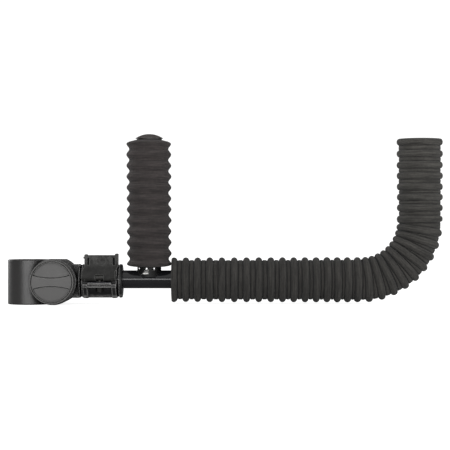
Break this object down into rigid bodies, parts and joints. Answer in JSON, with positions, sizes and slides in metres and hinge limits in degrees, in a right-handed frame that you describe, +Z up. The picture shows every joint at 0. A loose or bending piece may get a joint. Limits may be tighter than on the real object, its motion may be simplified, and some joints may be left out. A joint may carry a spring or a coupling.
{
  "type": "clamp-on rod rest arm",
  "caption": "Leg-clamp rest arm with a screw knob, cam-lever socket, J-bent tube in ribbed foam and a padded upright post that make a cradle for a rod.",
  "frame": {"origin": "centre of the leg bore, halfway up the ring", "axes": "+Z up the leg, +X along the arm from the leg towards the turned-up end, -Y towards the knob"},
  "size_m": [0.4558, 0.0634, 0.1782],
  "materials": {
    "clamp_plastic": "glass-filled nylon, fine moulded texture, satin",
    "lever_plastic": "glass-filled nylon, fine moulded texture",
    "knob_plastic": "moulded nylon, fine even texture, slight sheen",
    "cap_plastic": "moulded polypropylene, satin",
    "zinc_steel": "bright zinc plate",
    "black_steel": "black zinc plate",
    "spring_steel": "plain spring steel",
    "friction_rubber": "firm rubber",
    "bush_nylon": "self-lubricating nylon",
    "tube_gloss_black": "gloss black powder coat",
    "post_aluminium": "drawn aluminium, plain",
    "foot_nylon": "moulded nylon",
    "ribbed_foam": "closed-cell EVA foam, skinned, matte, fine pores, moulded ribs"
  },
  "bodies": {
    "leg_clamp": {"leg_ring": "clamp_plastic", "captive_nut": "zinc_steel"},
    "knob_washer": {"thrust_washer": "zinc_steel"},
    "knob": {"clamp_knob": "knob_plastic", "knob_stud": "zinc_steel"},
    "socket": {"socket_body": "clamp_plastic", "friction_rings": "friction_rubber", "cam_pin": "black_steel", "wear_plate": "spring_steel", "tension_bolt": "black_steel", "tension_washer": "black_steel", "tension_nut": "black_steel"},
    "lever": {"cam_lever": "lever_plastic"},
    "bush": {"split_bush": "bush_nylon"},
    "arm": {"arm_tube": "tube_gloss_black", "inner_plug": "cap_plastic", "end_plug": "cap_plastic", "arm_foam": "ribbed_foam", "upright_saddle": "cap_plastic", "saddle_spreader": "zinc_steel", "rivet_nut": "zinc_steel", "upright_stud": "black_steel", "post_foot": "foot_nylon", "upright_post": "post_aluminium", "upright_foam": "ribbed_foam", "upright_cap": "cap_plastic"}
  },
  "joints": [
    {"name": "knob_travel", "type": "slide", "parent": "leg_clamp", "child": "knob_washer", "axis": [0, -1, 0], "range_m": [0, 0.00375]},
    {"name": "knob_turn", "type": "hinge", "parent": "knob_washer", "child": "knob", "pos_m": [0.0273, 0, 0.0008], "axis": [0, -1, 0], "range_deg": [0, 1080]},
    {"name": "arm_tilt", "type": "hinge", "parent": "leg_clamp", "child": "socket", "pos_m": [0.0273, 0, 0.0008], "axis": [0, -1, 0], "range_deg": [-50, 50]},
    {"name": "lever_open", "type": "hinge", "parent": "socket", "child": "lever", "pos_m": [0.07545, -0.0225, 0.0054], "axis": [1, 0, 0], "range_deg": [0, 95]},
    {"name": "arm_swivel", "type": "hinge", "parent": "socket", "child": "bush", "pos_m": [0.0979, 0, 0.0024], "axis": [1, 0, 0], "continuous": true},
    {"name": "arm_slide", "type": "slide", "parent": "bush", "child": "arm", "axis": [1, 0, 0], "range_m": [-0.003, 0.012]}
  ],
  "couplings": [
    {"joint": "knob_turn", "follows": "knob_travel", "rad_per_m": 5026.5}
  ]
}
